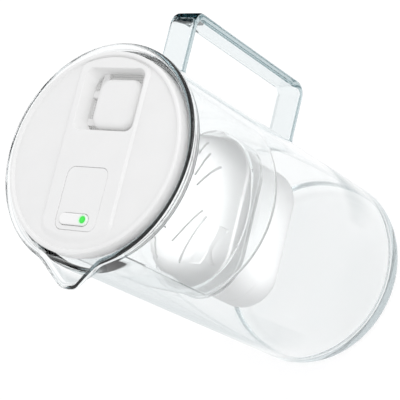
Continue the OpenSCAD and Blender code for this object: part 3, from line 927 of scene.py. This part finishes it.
def panel_mesh():
    def out(g_):
        return rrect(-46 + g_, -9.5 - g_, SIDE - 14.7 + g_, SIDE + 14.7 - g_, 5 - g_)

    top = [(out(0.0), Z_PAN - 0.4), (out(0.06), Z_PAN - 0.2), (out(0.18), Z_PAN - 0.06), (out(0.36), Z_PAN), (out(0.9), Z_PAN),
           (pill_loop(0.9), Z_PAN), (pill_loop(0.6), Z_PAN), (pill_loop(0.44), Z_PAN - 0.05), (pill_loop(0.34), Z_PAN - 0.16), (pill_loop(0.3), Z_PAN - 0.35)]
    face = sheet_of(top, out(-0.01), [pill_loop(0.3)])
    rim = strips([lift(out(0.0), Z_PAN - 0.4), lift(out(0.0), Z_PAN - 1.6)])
    hole = strips([lift(pill_loop(0.3), Z_PAN - 0.35), lift(pill_loop(0.3), Z_PAN - 1.6)])
    low = sheet_of([(out(0.0), Z_PAN - 1.6), (pill_loop(0.3), Z_PAN - 1.6)], out(-0.01), [pill_loop(0.3)])
    return new_object("indicator_panel", *joined(face, rim, hole, low))


panel = panel_mesh()
soften(panel, 40)
dress(panel, panel_white, "lid", "lid_white", "indicator_cover")


def lens_ring(r, k=32):
    return [(LAMP[0] + r * math.cos(2 * math.pi * i / k), LAMP[1] + r * math.sin(2 * math.pi * i / k)) for i in range(k)]


def button_mesh():
    zt = Z_PAN + 1.2
    top = [(pill_loop(0.0), zt - 1.0)]
    for a in (15, 30, 45, 60, 75, 90):
        c, s = math.cos(math.radians(a)), math.sin(math.radians(a))
        top.append((pill_loop(-0.9 + 0.9 * c), zt - 1.0 + 0.95 * s))
    top += [(lens_ring(2.32), zt - 0.05), (lens_ring(2.2), zt - 0.12), (lens_ring(2.09), zt - 0.3)]
    face = sheet_of(top, pill_loop(0.01), [lens_ring(2.09)])
    side = strips([lift(pill_loop(0.0), zt - 1.0), lift(pill_loop(0.0), Z_PAN - 1.65), lift(pill_loop(0.9), Z_PAN - 1.65), lift(pill_loop(0.9), Z_PAN - 2.96)])
    bore = strips([lift(lens_ring(2.09), zt - 0.3), lift(lens_ring(2.09), Z_PAN - 2.96)])
    low = sheet_of([(pill_loop(0.9), Z_PAN - 2.96), (lens_ring(2.09), Z_PAN - 2.96)], pill_loop(0.91), [lens_ring(2.09)])
    return new_object("push_button", *joined(face, side, bore, low))


button = button_mesh()
soften(button, 40)
dress(button, button_white, "button", "button_white", "reset_button")

zt = Z_PAN + 1.2
lens_loops = [lift(lens_ring(2.01), Z_PAN - 2.9), lift(lens_ring(2.05), Z_PAN - 2.8), lift(lens_ring(2.05), zt - 0.5)]
for rr, dz in ((2.03, 0.38), (1.93, 0.29), (1.75, 0.21), (1.42, 0.13), (1.0, 0.08), (0.53, 0.05), (0.14, 0.04)):
    lens_loops.append(lift(lens_ring(rr), zt - dz))
lens = new_object("lamp_window", *strips(lens_loops, True, True))
soften(lens, 40)
dress(lens, lamp_green, "button", "lamp_green", "light_lens")

# ---------------------------------------------------------------- CAD nodes that stay
for names, mat in ((("funnel_seal", "cartridge_seal", "lid_seal"), silicone), (("inlet_mesh", "outlet_mesh"), mesh_mat),
                   (("refill_strainer",), screen_mat),
                   (("filter_media",), media_mat), (("indicator_base",), tray_white), (("case_gasket",), rubber),
                   (("case_screws",), screw_steel), (("circuit_board",), board_mat), (("coin_cell",), cell_steel),
                   (("cell_contacts",), brass), (("tact_switch",), switch_black), (("status_led",), led_body)):
    for name in names:
        nodes[name].data.materials.clear()
        nodes[name].data.materials.append(mat)

# ---------------------------------------------------------------- floor, light, camera
fm = Mat("floor_white")
fm.colour(fm.noise(3, 2), (0.24, 0.24, 0.24), (0.26, 0.26, 0.26))
fm.gloss(fm.noise(8), 0.8, 0.95)
fm.set(spec=0.0, power=1.0)
fm.link(fm.ramp(fm.noise(2, 2), (0.3, (0.80, 0.80, 0.803)), (0.7, (0.82, 0.82, 0.823))), fm.b.inputs["Emission Color"])
n_side = 24
fv, ff = [], []
for j in range(n_side + 1):
    for i in range(n_side + 1):
        fv.append((-3000 + 6000 * i / n_side, -3000 + 6000 * j / n_side, -0.15))
for j in range(n_side):
    for i in range(n_side):
        a = j * (n_side + 1) + i
        ff.append((a, a + 1, a + n_side + 2, a + n_side + 1))
floor = new_object("floor", fv, ff)
floor.data.materials.append(fm.m)

world = bpy.data.worlds.new("studio")
scene.world = world
world.use_nodes = True
wt = world.node_tree
bg = wt.nodes["Background"]
tc = wt.nodes.new("ShaderNodeTexCoord")
sx = wt.nodes.new("ShaderNodeSeparateXYZ")
wt.links.new(tc.outputs["Generated"], sx.inputs["Vector"])
wr = wt.nodes.new("ShaderNodeValToRGB")
mr = wt.nodes.new("ShaderNodeMapRange")
mr.inputs["From Min"].default_value, mr.inputs["From Max"].default_value = -1, 1
wt.links.new(sx.outputs["Z"], mr.inputs["Value"])
wt.links.new(mr.outputs["Result"], wr.inputs["Fac"])
stops = ((0.0, 0.9), (0.495, 0.9), (0.505, 1.1), (0.60, 1.1), (0.75, 1.05), (0.85, 1.0), (0.94, 0.82), (1.0, 0.78))
els = wr.color_ramp.elements
while len(els) < len(stops):
    els.new(0.5)
for e, (p, v) in zip(els, stops):
    e.position, e.color = p, (v, v, v * 1.01, 1)
wt.links.new(wr.outputs["Color"], bg.inputs["Color"])
front = wt.nodes.new("ShaderNodeVectorMath")
front.operation = "DOT_PRODUCT"
wt.links.new(tc.outputs["Generated"], front.inputs[0])
front.inputs[1].default_value = (-0.326, -0.945, 0.0)
dim = wt.nodes.new("ShaderNodeMapRange")
for key, value in (("From Min", 0.1), ("From Max", 0.8), ("To Min", 1.0), ("To Max", 0.85)):
    dim.inputs[key].default_value = value
wt.links.new(front.outputs["Value"], dim.inputs["Value"])
wt.links.new(dim.outputs["Result"], bg.inputs["Strength"])


def area(name, loc, target, size, power, colour=(1, 1, 1)):
    li = bpy.data.lights.new(name, "AREA")
    li.shape, li.size, li.size_y = "RECTANGLE", size[0], size[1]
    li.energy, li.color = power, colour
    ob = bpy.data.objects.new(name, li)
    scene.collection.objects.link(ob)
    ob.location = loc
    ob.rotation_mode = "QUATERNION"
    ob.rotation_quaternion = (Vector(target) - Vector(loc)).to_track_quat("-Z", "Y")
    return ob


area("key", (0.75, -0.75, 1.25), (0, 0, 0.24), (0.6, 0.6), 3.2)
area("side", (-0.25, -1.5, 0.75), (0, 0, 0.17), (1.2, 0.5), 3)
fill = area("fill", (0, 0, 0.2355), (0, 0, 0.1), (0.075, 0.075), 0.06)
fill.data.shape = "DISK"
low_fill = area("low_fill", (-0.030, -0.0370, 0.192), (-0.036, -0.008, 0.152), (0.03, 0.024), 0.007)
flank_fill = area("flank_fill", (-0.004, -0.0510, 0.168), (-0.002, -0.020, 0.160), (0.052, 0.016), 0.009)
body_fill = area("body_fill", (-0.014, -0.055, 0.110), (-0.004, 0.0, 0.130), (0.06, 0.05), 0.015)
for li in (fill, low_fill, flank_fill, body_fill):
    li.visible_camera = li.visible_glossy = li.visible_transmission = False

# cards beside the handle and the jug: they show only in reflections and refractions close by
def card_mat(name, reach, tone=(0.010, 0.017, 0.020, 1), side=None):
    m = bpy.data.materials.new(name)
    m.use_nodes = True
    nt = m.node_tree
    nt.nodes.clear()
    out = nt.nodes.new("ShaderNodeOutputMaterial")
    mix = nt.nodes.new("ShaderNodeMixShader")
    dark = nt.nodes.new("ShaderNodeEmission")
    see = nt.nodes.new("ShaderNodeBsdfTransparent")
    path = nt.nodes.new("ShaderNodeLightPath")
    near_ = nt.nodes.new("ShaderNodeMapRange")
    dark.inputs["Color"].default_value = tone
    near_.inputs["From Min"].default_value, near_.inputs["From Max"].default_value = reach * MM, reach * 1.25 * MM
    nt.links.new(path.outputs["Ray Length"], near_.inputs["Value"])
    nt.links.new(near_.outputs["Result"], mix.inputs[0])
    if side is not None:
        here = nt.nodes.new("ShaderNodeNewGeometry")
        along = nt.nodes.new("ShaderNodeVectorMath")
        along.operation = "DOT_PRODUCT"
        along.inputs[1].default_value = (side.x, side.y, 0)
        fade = nt.nodes.new("ShaderNodeMapRange")
        fade.interpolation_type = "SMOOTHSTEP"
        for key, value in (("From Min", 66 * MM), ("From Max", 92 * MM), ("To Min", 1.0), ("To Max", 0.0)):
            fade.inputs[key].default_value = value
        most = nt.nodes.new("ShaderNodeMath")
        most.operation = "MAXIMUM"
        nt.links.new(here.outputs["Position"], along.inputs[0])
        nt.links.new(along.outputs["Value"], fade.inputs["Value"])
        nt.links.new(fade.outputs["Result"], most.inputs[0])
        nt.links.new(near_.outputs["Result"], most.inputs[1])
        nt.links.new(most.outputs[0], mix.inputs[0])
    nt.links.new(dark.outputs[0], mix.inputs[1])
    nt.links.new(see.outputs[0], mix.inputs[2])
    nt.links.new(mix.outputs[0], out.inputs["Surface"])
    return m


def card(name, line, z0, z1, reach):
    """Upright dark sheet over a line of points on the floor, seen from no further than reach."""
    n = len(line)
    ob = new_object(name, [(x, y, z) for z in (z0, z1) for x, y in line],
                    [(i, i + 1, n + i + 1, n + i) for i in range(n - 1)])
    ob.data.materials.append(card_mat(name, reach))
    ob.visible_camera = ob.visible_diffuse = ob.visible_shadow = False
    return ob


card("card_handle", [(115, -50), (115, -20), (115, 20)], 162, 250, 38)


def low_card(name, sign, reach, tone):
    """Level grey sheet just over the floor, beside the strip of floor that is seen straight through the jug."""
    ew, eu = Vector((0.327, 0.945)), Vector((0.945, -0.327)) * sign
    pts = [eu * u + ew * w for u, w in ((67, -60), (220, -60), (220, 320), (67, 320))]
    ob = new_object(name, [(v.x, v.y, 0.8) for v in pts], [(0, 1, 2, 3)])
    ob.data.materials.append(card_mat(name, reach, tone, eu))
    ob.visible_camera = ob.visible_diffuse = ob.visible_shadow = False


low_card("card_low_handle", 1, 68, (0.62, 0.66, 0.67, 1))
low_card("card_low_lip", -1, 330, (0.79, 0.82, 0.83, 1))

cam_data = bpy.data.cameras.new("camera")
cam_data.lens, cam_data.sensor_width, cam_data.sensor_fit = 141.5, 36.0, "HORIZONTAL"
cam_data.clip_start, cam_data.clip_end = 0.05, 50
cam = bpy.data.objects.new("camera", cam_data)
scene.collection.objects.link(cam)
ax = Vector((0.2313, -0.7984, -0.5559)).normalized()
az = Vector((-0.2072, -0.5987, 0.7737)).normalized()
ay = az.cross(ax).normalized()
ax = ay.cross(az).normalized()
rot = Matrix((ax, ay, az)).transposed().to_4x4()
rot.translation = Vector((-0.1924, -0.5708, 0.8808))
cam.matrix_world = rot
scene.camera = cam

scene.view_settings.view_transform = "Standard"
scene.view_settings.look = "None"
scene.cycles.max_bounces = 22
scene.cycles.transmission_bounces = 22
scene.cycles.transparent_max_bounces = 24
scene.cycles.glossy_bounces = 22
scene.cycles.diffuse_bounces = 6
